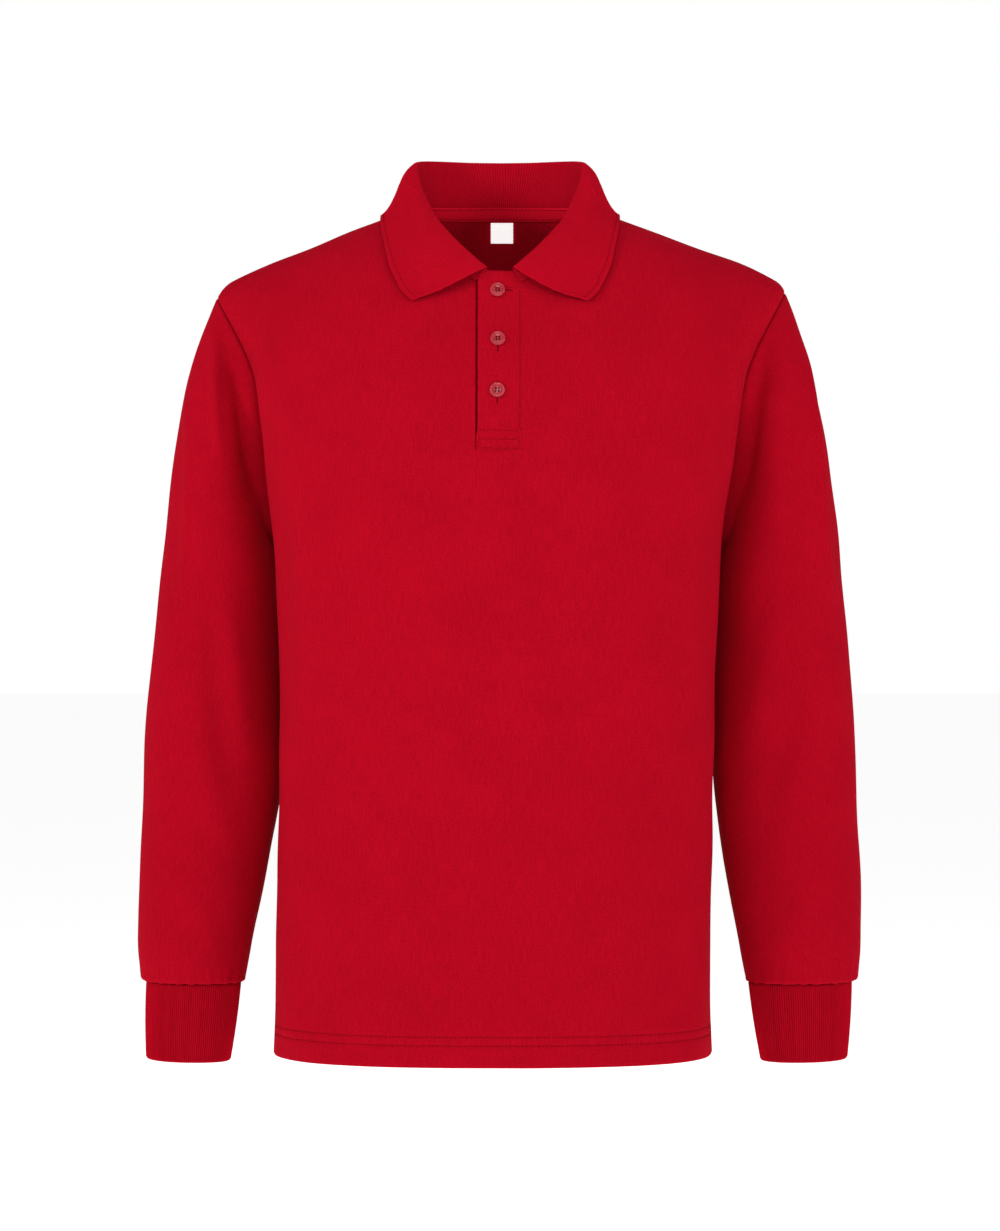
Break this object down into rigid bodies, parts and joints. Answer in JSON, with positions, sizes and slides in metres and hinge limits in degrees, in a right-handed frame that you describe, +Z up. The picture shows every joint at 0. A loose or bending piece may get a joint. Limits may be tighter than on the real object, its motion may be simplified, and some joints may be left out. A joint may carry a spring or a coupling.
{
  "type": "polo sweatshirt",
  "caption": "Long-sleeved polo sweatshirt in its hollow worn shape, with a turned-down ribbed collar, a buttoned neck placket, set-in sleeves, ribbed cuffs and a straight hem.",
  "frame": {"origin": "base of the neck, midway between the two points where the shoulder seams meet the collar", "axes": "+Z up, -Y the way the front of the garment faces, +X towards the wearer's left"},
  "size_m": [0.6168, 0.2603, 0.7713],
  "materials": {
    "jersey": "fine matte knit",
    "rib": "ribbed matte knit",
    "tape": "twill tape",
    "label": "white satin weave",
    "button": "polished"
  },
  "bodies": {
    "root": {"front_panel": "jersey", "back_panel": "jersey", "sleeve_right": "jersey", "sleeve_left": "jersey", "placket_upper": "jersey", "placket_under": "jersey", "cuff_right": "rib", "cuff_left": "rib", "collar": "rib", "neck_tape": "tape", "neck_label": "label", "button_top": "button", "button_middle": "button", "button_low": "button"}
  },
  "joints": []
}
